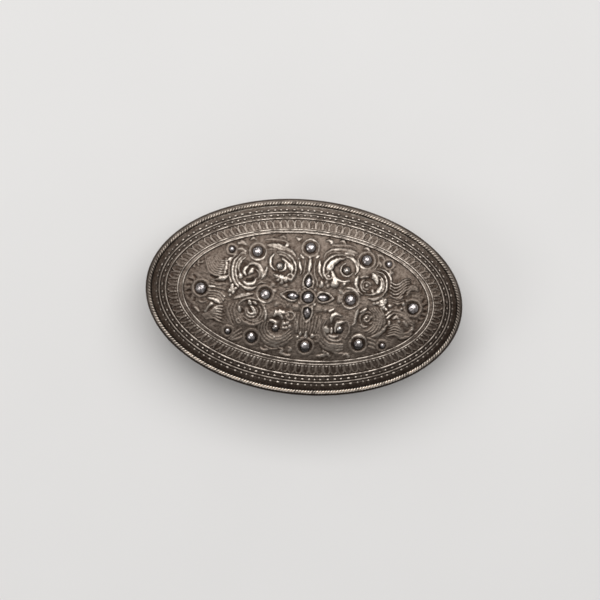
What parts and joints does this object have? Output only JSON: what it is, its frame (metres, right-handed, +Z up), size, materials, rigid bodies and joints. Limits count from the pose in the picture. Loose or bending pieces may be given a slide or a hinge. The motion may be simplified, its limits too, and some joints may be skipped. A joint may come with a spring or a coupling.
{
  "type": "lime container",
  "caption": "Oval lidded silver box for lime paste, with a slip-on embossed lid, applied wires and polished domed bosses on the crown.",
  "frame": {"origin": "on the table surface, under the middle of the closed box", "axes": "+X along the length, towards the right end in the picture; +Y across the width, towards the top of the picture; +Z up, the way the lid lifts off"},
  "size_m": [0.1, 0.0616, 0.0316],
  "materials": {
    "tarnished_silver": "chased silver sheet with brown-grey tarnish in the recesses, satin where rubbed",
    "rubbed_silver": "soldered silver wire, tarnished in the grooves and rubbed bright on top",
    "bright_silver": "silver domes rubbed to a mirror polish",
    "inner_silver": "plain hammered silver sheet, dull satin"
  },
  "bodies": {
    "base": {"foot_rim": "tarnished_silver", "base_plate": "inner_silver", "base_wall": "tarnished_silver", "base_rim_moulding": "tarnished_silver", "inner_collar": "inner_silver"},
    "lid": {"lid_wall": "tarnished_silver", "lid_mouth_moulding": "tarnished_silver", "lid_crown": "tarnished_silver", "lid_rope_wire": "rubbed_silver", "outer_beaded_wire": "rubbed_silver", "wire_between_beads": "rubbed_silver", "inner_beaded_wire": "rubbed_silver", "petal_band_outer_wire": "rubbed_silver", "petal_band_inner_wire": "rubbed_silver", "panel_frame_wire": "rubbed_silver", "boss_centre": "bright_silver", "boss_top": "bright_silver", "boss_bottom": "bright_silver", "boss_left": "bright_silver", "boss_right": "bright_silver", "boss_mid_left": "bright_silver", "boss_mid_right": "bright_silver", "boss_upper_left": "bright_silver", "boss_upper_right": "bright_silver", "boss_lower_left": "bright_silver", "boss_lower_right": "bright_silver", "eye_upper_left": "bright_silver", "eye_upper_right": "bright_silver", "eye_lower_left": "bright_silver", "eye_lower_right": "bright_silver", "stud_upper_left": "bright_silver", "stud_upper_right": "bright_silver", "stud_lower_left": "bright_silver", "stud_lower_right": "bright_silver", "leaf_right": "bright_silver", "leaf_top": "bright_silver", "leaf_left": "bright_silver", "leaf_bottom": "bright_silver"}
  },
  "joints": [
    {"name": "lid_lift", "type": "slide", "parent": "base", "child": "lid", "axis": [0, 0, 1], "range_m": [0, 0.035]}
  ]
}
